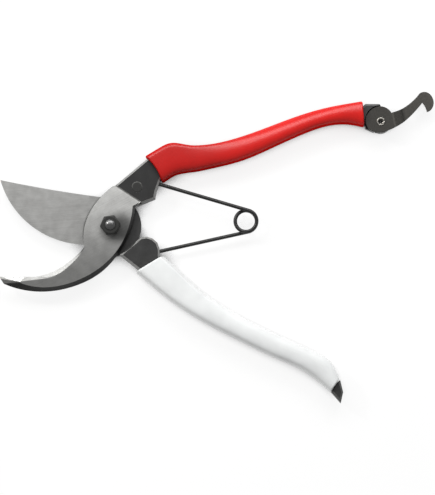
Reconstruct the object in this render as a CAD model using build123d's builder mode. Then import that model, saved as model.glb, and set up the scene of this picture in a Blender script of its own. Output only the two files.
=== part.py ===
"""Bypass pruning shears with a wire return spring and an end catch, modelled open.

The origin is on the pivot axis, at the flat back of the pivot bolt's head. +Z runs along the pivot
towards the nut, +X towards the handle ends and +Y towards the red handle. Sizes are in millimetres,
and each outline is a plan view drawn about the pivot.
"""

import math
import os

from build123d import *

# Grips and forged handles
grip_thickness = 13.0
grip_wall = 2.0
grip_rounding = 0.46
tang_thickness = 8.0
tang_chamfer = 0.9
core_lap = 0.8

# Blades
blade_gap = 0.1
blade_thickness = 3.2
edge_land = 0.35
grind_width = 7.5
boss_r = 14.8
boss_clearance = 0.4
hook_bevel_depth = 2.2
hook_inner_bevel = 1.6
hook_outer_bevel = 1.9
plate_side_bevel = 1.2
plate_heel_bevel = 0.4
plate_recess = 0.4

# Pivot
pivot_r = 3.0
pivot_clearance = 0.05
thread_r = 2.5
bolt_head_r = 6.0
bolt_head_chamfer = 0.4
washer_r = 6.8
washer_thickness = 0.5
nut_across_flats = 8.6
nut_height = 4.2
nut_turn = 8.0
nut_corner_drop = 0.7
nut_face_share = 0.94
bolt_stickout = 0.5
bolt_dome = 0.9

# Return spring
wire_d = 1.8
coil_r = 5.15
coil_rise = 3.1
coil_spans = 6
gap_steps = 200
seat_depth = 5.0
seat_clearance = 0.1

# Catch
lug_thickness = 4.8
lug_r = 5.2
head_r = 6.4
head_lobe_r = 5.6
head_lobe_angle = 165.0
head_clearance = 0.4
catch_thickness = 2.2
catch_clearance = 0.05
friction_washer_r = 4.2
friction_washer_thickness = 0.3
rivet_r = 1.6
rivet_bore_r = 1.05
rivet_flange_r = 2.0
rivet_flange_thickness = 0.4
joggle_turn = 12.0
joggle_start = 6.5
joggle_end = 11.5

# Pin through the red handle's tang
pin_r = 2.6
pin_dome = 0.3

# Plan points: blade and hook
blade_tip = (-53.2, 22.3)
blade_spine_middle = (-30.5, 17.9)
blade_spine_end = (-2.0, 13.7)
blade_edge_middle = (-39.6, 1.3)
blade_heel = (-7.0, -8.7)
ground_tip = (-46.5, 20.8)
hook_rim_outer = [
    (11.9, 9.2),
    (9.4, -2.7),
    (4.1, -12.9),
    (-4.4, -22.3),
    (-16.0, -28.6),
    (-31.5, -31.7),
    (-51.3, -27.9),
]
hook_rim_inner = [(-53.6, -24.4), (-43.0, -25.1), (-31.5, -23.6), (-19.8, -17.4), (-12.1, -9.7)]
hook_rim_heel = [(-12.1, -9.7), (-12.4, 0.9), (-9.2, 8.2), (0.9, 19.0)]
hook_face_tip = (-43.2, -27.2)
hook_face_tip_width = 0.5
plate_root = [(5.6, 20.6), (14.6, 11.4)]

# Plan points: red handle, each grip station being its outer and inner edge
red_stations = [
    ((16.5, 33.8), (25.2, 20.8)),
    ((22.5, 37.7), (30.3, 24.1)),
    ((31.9, 40.7), (36.0, 25.7)),
    ((43.6, 39.7), (46.5, 27.5)),
    ((59.0, 42.1), (62.8, 31.6)),
    ((74.5, 47.4), (78.4, 38.2)),
    ((90.0, 53.2), (92.9, 44.7)),
    ((105.5, 57.6), (107.2, 49.1)),
    ((114.4, 59.3), (115.4, 49.2)),
    ((121.4, 60.5), (122.2, 47.9)),
]
red_tang_inner = [(23.2, 19.8), (22.0, 16.4), (21.5, 13.0), (12.9, 9.6), (13.4, 11.3)]
red_tang_corner = (1.9, 18.9)
pin_centre = (12.8, 18.6)
rivet_centre = (130.2, 50.3)
head_offset = (-0.4, 1.0)
lug_top = [(122.8, 58.8), (129.6, 58.8)]
lug_shoulder = (133.0, 54.6)
lug_bottom = [(126.8, 45.4), (122.8, 47.2)]

# Plan points: white handle
white_stations = [
    ((12.1, -22.5), (25.5, -14.4)),
    ((19.8, -29.0), (31.8, -20.1)),
    ((31.4, -38.1), (41.2, -29.1)),
    ((47.0, -47.8), (54.4, -38.6)),
    ((62.4, -55.7), (68.6, -46.7)),
    ((77.9, -63.2), (83.4, -53.7)),
    ((90.0, -68.5), (95.8, -59.4)),
    ((98.5, -74.0), (105.5, -65.0)),
    ((105.6, -80.2), (110.1, -73.6)),
]
white_tang_inner = [(14.6, -5.8), (17.4, -5.4), (20.2, -6.2), (22.6, -8.3), (23.7, -11.5)]
white_tang_corner = (4.6, -14.2)
boss_neck = [(11.6, -3.4), (15.0, -6.8), (20.0, -12.0), (12.5, -19.4), (5.6, -14.4), (2.0, -8.0)]
toe = [(110.3, -74.3), (111.7, -80.2), (110.6, -85.3), (106.0, -80.0)]

# Plan points: spring seats and coil, catch arm
red_seat = (23.7, 20.0)
white_seat = (23.7, -12.1)
coil_centre = (65.2, 2.4)
arm_upper = [(132.5, 54.0), (138.9, 55.9), (145.7, 60.5), (149.1, 64.3)]
arm_crook = [(149.1, 64.3), (153.6, 64.2), (155.8, 60.2), (155.2, 57.2), (152.6, 55.3)]
arm_notch = [(152.6, 55.3), (151.3, 58.6), (150.4, 59.8)]
arm_lower = [(150.4, 59.8), (147.2, 56.0), (140.4, 49.7), (132.0, 45.6), (127.2, 44.9)]

# Levels along the pivot
mid_z = grip_thickness / 2
tang_back = mid_z - tang_thickness / 2
tang_front = mid_z + tang_thickness / 2
hook_back = mid_z + blade_gap / 2
plate_front = tang_front - plate_recess
hook_bevel_foot = plate_front - hook_bevel_depth
blade_front = mid_z - blade_gap / 2
blade_back = blade_front - blade_thickness
bolt_head_height = tang_back - washer_thickness
nut_front = plate_front + nut_height
lug_front = tang_back + lug_thickness
catch_back = lug_front + friction_washer_thickness + catch_clearance
catch_front = catch_back + catch_thickness
joggle_drop = catch_back + catch_thickness / 2 - mid_z


def towards(start, end, distance):
    """The point that lies this far from start on the way to end."""
    start = Vector(start)
    return start + (Vector(end) - start).normalized() * distance


def inset(points, widths):
    """Each point moved to the right of the path's direction there, by its own width."""
    moved = []
    befores = points[:1] + points[:-1]
    afters = points[1:] + points[-1:]
    for before, here, after, width in zip(befores, points, afters, widths):
        way = (Vector(after) - Vector(before)).normalized()
        moved.append(Vector(here) + Vector(way.Y, -way.X) * width)
    return moved


def station_plane(outer, inner):
    """The upright plane across a grip through its outer and inner edge, with X from inner to outer."""
    across = Vector(outer) - Vector(inner)
    middle = (Vector(outer) + Vector(inner)) / 2
    return Plane(origin=(middle.X, middle.Y, mid_z), x_dir=across, z_dir=across.cross(Vector(0, 0, 1)))


def core_edges(stations):
    """The outer and inner edge of the forged core, one grip wall inside the grip."""
    outer = [towards(out, inn, grip_wall) for out, inn in stations]
    inner = [towards(inn, out, grip_wall) for out, inn in stations]
    return outer, inner


def lapped(outer, inner, stations):
    """The core's edges at these stations, drawn in so that a bar there lies inside the core."""
    laps_outer = [towards(outer[i], inner[i], core_lap) for i in stations]
    laps_inner = [towards(inner[i], outer[i], core_lap) for i in stations]
    return laps_outer, laps_inner


def forged_bar(outline):
    """A bar of the tang's thickness with this straight-edged plan outline, chamfered all round."""
    with BuildPart() as bar:
        with BuildSketch(Plane.XY.offset(tang_back)):
            with BuildLine():
                Polyline(*outline, close=True)
            make_face()
        extrude(amount=tang_thickness)
        chamfer(faces().filter_by(Axis.Z).edges(), tang_chamfer)
    return bar.part


# The catch's head isn't centred on its rivet. A lobe on its left fills the circle that it sweeps.
head_centre = Vector(rivet_centre) + Vector(head_offset)
head_sweep = head_r + Vector(head_offset).length
lobe_way = Vector(math.cos(math.radians(head_lobe_angle)), math.sin(math.radians(head_lobe_angle)))
lobe_centre = Vector(rivet_centre) + lobe_way * (head_sweep - head_lobe_r)

red_core_outer, red_core_inner = core_edges(red_stations)
white_core_outer, white_core_inner = core_edges(white_stations)

# Spring path. Seen from the front the wire runs from the red seat to the coil, turns clockwise and
# runs back to the white seat. Each leg is tangent to the coil, and the coil sinks by coil_rise with
# no slope at its ends.
wire_r = wire_d / 2
red_level = mid_z + coil_rise / 2
white_level = mid_z - coil_rise / 2
red_reach = (Vector(coil_centre) - Vector(red_seat)).length
white_reach = (Vector(coil_centre) - Vector(white_seat)).length
red_sight = math.atan2(coil_centre[1] - red_seat[1], coil_centre[0] - red_seat[0])
white_sight = math.atan2(coil_centre[1] - white_seat[1], coil_centre[0] - white_seat[0])
red_leg_angle = red_sight + math.asin(coil_r / red_reach)
white_leg_angle = white_sight - math.asin(coil_r / white_reach)
coil_turn = 3 * math.pi + red_leg_angle - white_leg_angle


def coil_point(share):
    """The wire's centre at this share of the coil: a circle that sinks by a smooth step."""
    heading = red_leg_angle - share * coil_turn
    step = share * share * (3 - 2 * share)
    return Vector(
        coil_centre[0] - coil_r * math.sin(heading),
        coil_centre[1] + coil_r * math.cos(heading),
        red_level - coil_rise * step,
    )


def coil_way(share):
    """The wire's unit direction at this share of the coil."""
    heading = red_leg_angle - share * coil_turn
    sink = coil_rise * 6 * share * (1 - share) / (coil_r * coil_turn)
    return Vector(math.cos(heading), math.sin(heading), -sink).normalized()


def biarc_joint(start, start_way, end, end_way):
    """Where two equal-handled tangent arcs from start to end meet, and the direction there."""
    chord = end - start
    ways = start_way + end_way
    bend = 2 * (1 - start_way.dot(end_way))
    reach = (math.sqrt(chord.dot(ways) ** 2 + bend * chord.dot(chord)) - chord.dot(ways)) / bend
    first = start + start_way * reach
    last = end - end_way * reach
    return (first + last) / 2, (last - first).normalized()


red_way = Vector(math.cos(red_leg_angle), math.sin(red_leg_angle))
white_way = Vector(math.cos(white_leg_angle), math.sin(white_leg_angle))
red_mouth = Vector(red_seat[0], red_seat[1], red_level)
white_mouth = Vector(white_seat[0], white_seat[1], white_level)
red_end = red_mouth - red_way * seat_depth
white_end = white_mouth - white_way * seat_depth

# The least gap between turns a whole turn apart, measured on points
turn_share = 2 * math.pi / coil_turn
turn_gap = min(
    (coil_point(i / gap_steps) - coil_point(j / gap_steps)).length - wire_d
    for i in range(gap_steps + 1)
    for j in range(gap_steps + 1)
    if (j - i) / gap_steps > turn_share / 2
)
print("least gap between spring turns", round(turn_gap, 3))

os.makedirs("parts", exist_ok=True)

# Hook blade: forged in one with the red handle's core
hook_face_outer = inset(hook_rim_outer[:-1], [plate_side_bevel] * 3 + [hook_outer_bevel] * 3)
hook_face_inner = inset(hook_rim_inner, [0] + [hook_inner_bevel] * 4)[1:-1]
hook_face_heel = inset(hook_rim_heel, [plate_heel_bevel] * 4)[1:]
hook_face_corner = towards(hook_rim_inner[-1], hook_rim_inner[-2], hook_inner_bevel)
hook_face_corner = hook_face_corner + Vector(2 * plate_heel_bevel)
hook_face_low = Vector(hook_face_tip) - Vector(0, hook_face_tip_width)
plate_levels = [
    (hook_back, hook_rim_outer, hook_rim_inner, hook_rim_heel),
    (hook_bevel_foot, hook_rim_outer, hook_rim_inner, hook_rim_heel),
    (
        plate_front,
        hook_face_outer + [hook_face_low],
        [hook_face_tip] + hook_face_inner + [hook_face_corner],
        [hook_face_corner] + hook_face_heel,
    ),
]
lap_outer, lap_inner = lapped(red_core_outer, red_core_inner, (1, 2))
red_tang_outer = [red_tang_corner, red_core_outer[0]]
red_tang = forged_bar(
    [*red_tang_outer, *lap_outer, *reversed(lap_inner), red_core_inner[0], *red_tang_inner]
)
lap_outer, lap_inner = lapped(red_core_outer, red_core_inner, (-2, -1))
red_lug = forged_bar([*lap_outer, *lug_top, lug_shoulder, *lug_bottom, *reversed(lap_inner)])

with BuildPart() as hook_blade:
    with BuildSketch(Plane.XY.offset(tang_back)):
        with BuildLine():
            Spline(*red_core_outer[1:])
            Line(red_core_outer[-1], red_core_inner[-1])
            Spline(*reversed(red_core_inner[1:]))
            Line(red_core_inner[1], red_core_outer[1])
        make_face()
    extrude(amount=tang_thickness)
    with BuildSketch(Plane.XY.offset(tang_back)):
        with Locations(rivet_centre):
            Circle(lug_r)
    extrude(amount=lug_thickness)
    add(red_tang)
    add(red_lug)
    with BuildSketch(Plane.XY.offset(tang_back)):
        Circle(boss_r + boss_clearance)
    extrude(amount=hook_back - tang_back, mode=Mode.SUBTRACT)
    for level, outer, inner, heel in plate_levels:
        with BuildSketch(Plane.XY.offset(level)):
            with BuildLine():
                Spline(*outer)
                Line(outer[-1], inner[0])
                Spline(*inner)
                Spline(*heel)
                Polyline(heel[-1], *plate_root, outer[0])
            make_face()
    loft(ruled=True)
    with BuildSketch(Plane.XY.offset(lug_front)):
        with Locations(rivet_centre):
            Circle(head_sweep + head_clearance)
    extrude(amount=tang_front - lug_front, mode=Mode.SUBTRACT)
    with Locations((0, 0, mid_z)):
        Cylinder(pivot_r, 2 * tang_thickness, mode=Mode.SUBTRACT)
    with Locations((*pin_centre, mid_z)):
        Cylinder(pin_r, 2 * tang_thickness, mode=Mode.SUBTRACT)
    with Locations((*rivet_centre, mid_z)):
        Cylinder(rivet_r, 2 * tang_thickness, mode=Mode.SUBTRACT)
    with BuildSketch(Plane(origin=red_mouth + red_way * wire_d, z_dir=-red_way)):
        Circle(wire_r + seat_clearance)
    extrude(amount=wire_d + seat_depth + seat_clearance, mode=Mode.SUBTRACT)
hook_blade.part.label = "hook_blade"
export_step(hook_blade.part, "parts/hook_blade.step")

# Cutting blade: forged in one with the white handle's core, ground on its back
ground_middle = towards(blade_edge_middle, blade_spine_middle, grind_width)
ground_heel = towards(blade_heel, blade_spine_end, grind_width)
blade_levels = [
    (blade_front, blade_tip, blade_spine_middle, blade_edge_middle, blade_heel),
    (blade_front - edge_land, blade_tip, blade_spine_middle, blade_edge_middle, blade_heel),
    (blade_back, ground_tip, blade_spine_middle, ground_middle, ground_heel),
]

lap_outer, lap_inner = lapped(white_core_outer, white_core_inner, (1, 2))
white_tang_outer = [white_core_outer[0], white_tang_corner]
white_tang = forged_bar(
    [*white_tang_inner, white_core_inner[0], *lap_inner, *reversed(lap_outer), *white_tang_outer]
)
lap_outer, lap_inner = lapped(white_core_outer, white_core_inner, (-2, -1))
white_toe = forged_bar([*lap_inner, *toe, *reversed(lap_outer)])

with BuildPart() as cutting_blade:
    with BuildSketch(Plane.XY.offset(tang_back)):
        with BuildLine():
            Spline(*white_core_inner[1:])
            Line(white_core_inner[-1], white_core_outer[-1])
            Spline(*reversed(white_core_outer[1:]))
            Line(white_core_outer[1], white_core_inner[1])
        make_face()
    extrude(amount=tang_thickness)
    add(white_tang)
    add(white_toe)
    with BuildSketch(Plane.XY.offset(tang_back)):
        Circle(boss_r)
        with BuildLine():
            Polyline(*boss_neck, close=True)
        make_face()
    extrude(amount=blade_front - tang_back)
    for level, tip, spine, edge, heel in blade_levels:
        with BuildSketch(Plane.XY.offset(level)):
            with BuildLine():
                Spline(tip, spine, blade_spine_end)
                Line(blade_spine_end, heel)
                ThreePointArc(heel, edge, tip)
            make_face()
    loft(ruled=True)
    with Locations((0, 0, mid_z)):
        Cylinder(pivot_r + pivot_clearance, 2 * tang_thickness, mode=Mode.SUBTRACT)
    with BuildSketch(Plane(origin=white_mouth + white_way * wire_d, z_dir=-white_way)):
        Circle(wire_r + seat_clearance)
    extrude(amount=wire_d + seat_depth + seat_clearance, mode=Mode.SUBTRACT)
cutting_blade.part.label = "cutting_blade"
export_step(cutting_blade.part, "parts/cutting_blade.step")

# Grips: dipped sleeves over the forged cores
with BuildPart() as red_grip:
    for outer, inner in red_stations:
        width = (Vector(outer) - Vector(inner)).length
        with BuildSketch(station_plane(outer, inner)):
            RectangleRounded(width, grip_thickness, grip_rounding * min(width, grip_thickness))
    loft()
    add(hook_blade.part, mode=Mode.SUBTRACT)
red_grip.part.label = "red_grip"
export_step(red_grip.part, "parts/red_grip.step")

with BuildPart() as white_grip:
    for outer, inner in white_stations:
        width = (Vector(outer) - Vector(inner)).length
        with BuildSketch(station_plane(outer, inner)):
            RectangleRounded(width, grip_thickness, grip_rounding * min(width, grip_thickness))
    loft()
    add(cutting_blade.part, mode=Mode.SUBTRACT)
white_grip.part.label = "white_grip"
export_step(white_grip.part, "parts/white_grip.step")

# Pivot bolt, its washer on the back and its nut on the front
bolt_end = nut_front + bolt_stickout
bolt_dome_r = (thread_r**2 + bolt_dome**2) / (2 * bolt_dome)
with BuildPart() as pivot_bolt:
    with BuildSketch(Plane.XZ):
        with BuildLine():
            Polyline(
                (0, bolt_end + bolt_dome),
                (0, 0),
                (bolt_head_r - bolt_head_chamfer, 0),
                (bolt_head_r, bolt_head_chamfer),
                (bolt_head_r, bolt_head_height),
                (pivot_r, bolt_head_height),
                (pivot_r, plate_front),
                (thread_r, plate_front),
                (thread_r, bolt_end),
            )
            RadiusArc((thread_r, bolt_end), (0, bolt_end + bolt_dome), -bolt_dome_r)
        make_face()
    revolve(axis=Axis.Z)
pivot_bolt.part.label = "pivot_bolt"
export_step(pivot_bolt.part, "parts/pivot_bolt.step")

with BuildPart() as pivot_washer:
    with BuildSketch(Plane.XY.offset(bolt_head_height)):
        Circle(washer_r)
        Circle(pivot_r + pivot_clearance, mode=Mode.SUBTRACT)
    extrude(amount=washer_thickness)
pivot_washer.part.label = "pivot_washer"
export_step(pivot_washer.part, "parts/pivot_washer.step")

nut_corner_r = nut_across_flats / math.sqrt(3)
with BuildPart() as pivot_nut:
    with BuildSketch(Plane.XY.offset(plate_front)):
        RegularPolygon(nut_across_flats / 2, 6, major_radius=False, rotation=nut_turn)
        Circle(thread_r, mode=Mode.SUBTRACT)
    extrude(amount=nut_height)
    with BuildSketch(Plane.XZ):
        with BuildLine():
            Polyline(
                (0, plate_front),
                (nut_corner_r, plate_front),
                (nut_corner_r, nut_front - nut_corner_drop),
                (nut_face_share * nut_across_flats / 2, nut_front),
                (0, nut_front),
                close=True,
            )
        make_face()
    revolve(axis=Axis.Z, mode=Mode.INTERSECT)
pivot_nut.part.label = "pivot_nut"
export_step(pivot_nut.part, "parts/pivot_nut.step")

# Return spring: one wire with a straight leg to each seat
spans = [i / coil_spans for i in range(coil_spans + 1)]
with BuildPart() as return_spring:
    with BuildLine() as wire_path:
        Line(red_end, coil_point(0))
        for here, there in zip(spans, spans[1:]):
            start, end = coil_point(here), coil_point(there)
            joint, joint_way = biarc_joint(start, coil_way(here), end, coil_way(there))
            TangentArc(start, joint, tangent=coil_way(here))
            TangentArc(joint, end, tangent=joint_way)
        Line(coil_point(1), white_end)
    with BuildSketch(Plane(origin=red_end, z_dir=red_way)):
        Circle(wire_r)
    sweep(path=wire_path.wire())
return_spring.part.label = "return_spring"
export_step(return_spring.part, "parts/return_spring.step")

# Catch: a flat arm with a crook, riveted to the red handle's end and joggled to the middle plane
along_arm = Vector(math.cos(math.radians(joggle_turn)), math.sin(math.radians(joggle_turn)), 0)
strip_length = 2 * (Vector(arm_crook[2]) - Vector(rivet_centre)).length
arm_plane = Plane(origin=(*rivet_centre, 0), x_dir=along_arm, z_dir=along_arm.cross(Vector(0, 0, 1)))
with BuildPart() as catch:
    with BuildSketch(Plane.XY.offset(catch_back - joggle_drop)):
        with BuildLine():
            Spline(*arm_upper)
            Spline(*arm_crook)
            Spline(*arm_notch)
            Spline(*arm_lower)
            Line(arm_lower[-1], arm_upper[0])
        make_face()
        with Locations(head_centre):
            Circle(head_r)
        with Locations(lobe_centre):
            Circle(head_lobe_r)
        with Locations(rivet_centre):
            Circle(rivet_r + catch_clearance, mode=Mode.SUBTRACT)
    extrude(amount=catch_thickness + joggle_drop)
    with BuildSketch(arm_plane):
        with BuildLine():
            Polyline(
                (-strip_length, catch_back),
                (joggle_start, catch_back),
                (joggle_end, catch_back - joggle_drop),
                (strip_length, catch_back - joggle_drop),
                (strip_length, catch_front - joggle_drop),
                (joggle_end, catch_front - joggle_drop),
                (joggle_start, catch_front),
                (-strip_length, catch_front),
                close=True,
            )
        make_face()
    extrude(amount=strip_length, both=True, mode=Mode.INTERSECT)
catch.part.label = "catch"
export_step(catch.part, "parts/catch.step")

with BuildPart() as catch_washer:
    with BuildSketch(Plane.XY.offset(lug_front)):
        with Locations(rivet_centre):
            Circle(friction_washer_r)
            Circle(rivet_r, mode=Mode.SUBTRACT)
    extrude(amount=friction_washer_thickness)
catch_washer.part.label = "catch_washer"
export_step(catch_washer.part, "parts/catch_washer.step")

rivet_back = tang_back - rivet_flange_thickness
rivet_front = catch_front + catch_clearance + rivet_flange_thickness
with BuildPart() as catch_rivet:
    for level, radius, height in (
        (rivet_back, rivet_flange_r, rivet_flange_thickness),
        (tang_back, rivet_r, catch_front + catch_clearance - tang_back),
        (catch_front + catch_clearance, rivet_flange_r, rivet_flange_thickness),
    ):
        with BuildSketch(Plane.XY.offset(level)):
            with Locations(rivet_centre):
                Circle(radius)
        extrude(amount=height)
    with BuildSketch(Plane.XY.offset(rivet_back)):
        with Locations(rivet_centre):
            Circle(rivet_bore_r)
    extrude(amount=rivet_front - rivet_back, mode=Mode.SUBTRACT)
catch_rivet.part.label = "catch_rivet"
export_step(catch_rivet.part, "parts/catch_rivet.step")

# Pin through the red handle's tang, peened on the front
with BuildPart() as tang_pin:
    with BuildSketch(Plane.XY.offset(tang_back)):
        with Locations(pin_centre):
            Circle(pin_r)
    extrude(amount=tang_thickness + pin_dome)
    chamfer(edges().sort_by(Axis.Z)[-1], pin_dome)
tang_pin.part.label = "tang_pin"
export_step(tang_pin.part, "parts/tang_pin.step")
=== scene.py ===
"""Bypass pruning shears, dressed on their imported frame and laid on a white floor.

Lengths are in metres unless a name says millimetres. The frame's origin is on the pivot axis at the
back of the bolt's head, +Z runs towards the nut, +X towards the handle ends and +Y towards the red
handle.
"""

import math

import bpy
import numpy as np
from bpy.props import FloatProperty, FloatVectorProperty, PointerProperty
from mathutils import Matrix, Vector


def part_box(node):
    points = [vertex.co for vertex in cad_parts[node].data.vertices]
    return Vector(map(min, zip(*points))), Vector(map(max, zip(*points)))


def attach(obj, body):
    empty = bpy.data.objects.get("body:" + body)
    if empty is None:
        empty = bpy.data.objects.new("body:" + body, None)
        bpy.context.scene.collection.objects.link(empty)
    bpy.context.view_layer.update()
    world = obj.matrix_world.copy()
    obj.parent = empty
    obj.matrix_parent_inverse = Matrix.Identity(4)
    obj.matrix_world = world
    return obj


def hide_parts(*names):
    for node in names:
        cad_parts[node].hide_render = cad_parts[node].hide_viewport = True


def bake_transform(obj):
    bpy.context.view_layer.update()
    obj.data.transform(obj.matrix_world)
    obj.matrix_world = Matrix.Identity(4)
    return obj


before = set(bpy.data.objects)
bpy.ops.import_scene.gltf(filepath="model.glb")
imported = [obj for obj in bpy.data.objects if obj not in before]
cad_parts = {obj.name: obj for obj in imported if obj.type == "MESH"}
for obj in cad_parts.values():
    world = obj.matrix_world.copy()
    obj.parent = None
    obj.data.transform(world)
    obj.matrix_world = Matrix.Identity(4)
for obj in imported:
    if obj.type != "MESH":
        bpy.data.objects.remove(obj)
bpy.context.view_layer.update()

bl_info = {
    "name": "Pruning shears",
    "version": (1, 0, 0),
    "blender": (4, 5, 0),
    "location": "View3D > Sidebar > Shears",
    "description": "Builds dressed bypass pruning shears around a packed frame",
    "category": "Mesh",
}

MM = 0.001
UP = np.array((0.0, 0.0, 1.0))

# Grip stations in millimetres, each the upper and lower edge of the sleeve in plan
RED_STATIONS = (
    ((16.5, 33.8), (25.2, 20.8)),
    ((22.5, 37.4), (30.3, 24.1)),
    ((27.6, 40.0), (33.4, 25.2)),
    ((31.6, 40.3), (36.6, 25.8)),
    ((37.5, 39.3), (41.2, 26.4)),
    ((43.6, 39.2), (46.5, 27.5)),
    ((59.0, 42.1), (62.8, 31.6)),
    ((74.5, 47.4), (78.4, 38.2)),
    ((90.0, 53.2), (92.9, 44.7)),
    ((105.5, 57.6), (107.2, 49.1)),
    ((114.4, 59.3), (115.4, 49.2)),
    ((121.4, 60.5), (122.2, 47.9)),
)
WHITE_STATIONS = (
    ((25.5, -14.4), (12.1, -22.5)),
    ((31.8, -20.1), (19.8, -29.0)),
    ((41.2, -29.1), (31.4, -38.1)),
    ((54.4, -38.6), (47.0, -47.8)),
    ((68.6, -46.7), (62.4, -55.7)),
    ((83.4, -53.7), (77.9, -63.2)),
    ((95.8, -59.4), (90.0, -68.5)),
    ((105.5, -65.0), (98.5, -74.0)),
    ((110.1, -73.6), (105.6, -80.2)),
)

# Places in plan, in millimetres: the spring's seats and coil, the pivot, the rivet and the tang's pin
RED_SEAT = (23.7, 20.0)
WHITE_SEAT = (23.7, -12.1)
COIL_CENTRE = (65.2, 2.4)
PIVOT_CENTRE = (0.0, 0.0)
RIVET_CENTRE = (130.2, 50.3)
PIN_CENTRE = (12.8, 18.6)
# The catch's arm leaves the rivet in this direction
CATCH_TURN = math.radians(12.0)
# Its two bends: distance from the rivet and half width in millimetres, and the change of brightness,
# a painted highlight on the first bend and painted shade in the crease of the second
CATCH_PAINTED_BENDS = ((6.5, 0.8, 0.7), (11.2, 1.4, -0.45))

# Line across the hook forging where the ground plate meets the black tang, in millimetres
PLATE_END = ((1.9, 18.9), (13.4, 11.3))
# Line across the blade forging past which its front is black, in millimetres
BLADE_END = ((2.0, 3.0), (-4.0, -9.0))
BOSS_RADIUS_MM = 14.8
# Lines at the hook's tip in millimetres: black lies below the first and beyond the second
HOOK_TIP_LINE = ((-43.2, -27.0), (-53.6, -25.2))
HOOK_FACE_END = ((-43.2, -30.0), (-43.2, -24.0))
# Lines in millimetres: above the first and left of the second the hook's flat is ground with the
# inner bevel and takes the bevel's painted light
HOOK_FLAT_END = ((-43.2, -27.2), (-28.0, -25.4))
HOOK_FLAT_START = ((-27.0, -30.0), (-27.0, -20.0))
# The way that the hook's outer side looks, in plan
HOOK_OUTWARD = (0.5, -0.86, 0.0)
# Painted shadow of the nut on the plate, towards its lower right, in millimetres: it is full inside
# the first radius and ends at the second
NUT_SHADOW_CENTRE = (5.4, -1.4)
NUT_SHADOW_RADII_MM = (3.0, 10.5)
# The worn rim of the tang's pin lies between these radii in millimetres; a painted highlight makes it
# brighter towards its upper side
PIN_RIM_MM = (2.0, 2.3)

# Ranges in millimetres over which finishes change: along y the ground steel's painted light, lighter
# above, and along x the scale, the filed edges and the vinyl's painted light, darker by the mouth
GROUND_PAINTED_LIGHT_RANGE = (-24.0, 18.0)
SCALE_RANGE = (60.0, 120.0)
FILED_RANGE = (60.0, 100.0)
VINYL_PAINTED_LIGHT_RANGE = (38.0, 75.0)

# Patterns by how many fit in a millimetre. Fine grinding lines are 0.28 mm wide and broad ones 1.1 mm,
# drawn out along the grind, patches of scale 4 mm, pits 0.45 mm, waves in vinyl 8 mm and its skin 0.9 mm
STREAKS_PER_MM = ((0.035, 3.6, 0.5), (0.012, 0.9, 0.5))
PATCHES_PER_MM = 0.25
PITS_PER_MM = 2.2
WAVES_PER_MM = 0.12
SKIN_PER_MM = 1.1
# Noise stays mostly between the first two values, and a sum of streaks between the other two
NOISE_LOW, NOISE_HIGH = 0.3, 0.7
STREAK_LOW, STREAK_HIGH = 0.7, 1.3

# Rows and columns of the surfaces' grids
LIP_ROWS = 9
SLEEVE_ROWS = 200
LINING_ROWS = 60
SLEEVE_COLUMNS = 144
LEG_ROWS = 60
COIL_ROWS = 240
WIRE_COLUMNS = 20
RIVET_COLUMNS = 72

# A sleeve's creases are the crisper the higher these powers are, and its lining is the squarer
UPPER_CREASE = 24.0
LOWER_CREASE = 10.0
LINING_POWER = 5
# Length over which the bow of a sleeve's mouth dies away
BOW_FADE = 8 * MM
# Power of the sine by which a spring leg's share of the turn grows
LEG_EASE = 1.6
# Points that the setting tool pressed into the rivet's mouth
STAR_POINTS = 6

# Half the floor's side
FLOOR_REACH = 2.0
# Soft lamps: the place from the aim, both sizes, the power in watts and the colour
LAMPS = {
    "key_lamp": ((-0.48, 0.3, 0.42), (0.1, 0.1), 1.6, "#FFFDFA"),
    "top_lamp": ((0.0, 0.49, 0.49), (0.9, 0.34), 4.5, "#FFFFFF"),
}


def linear(code):
    """The linear colour of an sRGB hex code."""
    shares = [int(code[i : i + 2], 16) / 255 for i in (1, 3, 5)]
    return [s / 12.92 if s <= 0.04045 else ((s + 0.055) / 1.055) ** 2.4 for s in shares]


def node_height(node):
    """A CAD node's size along the pivot."""
    low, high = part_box(node)
    return high.z - low.z


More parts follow.
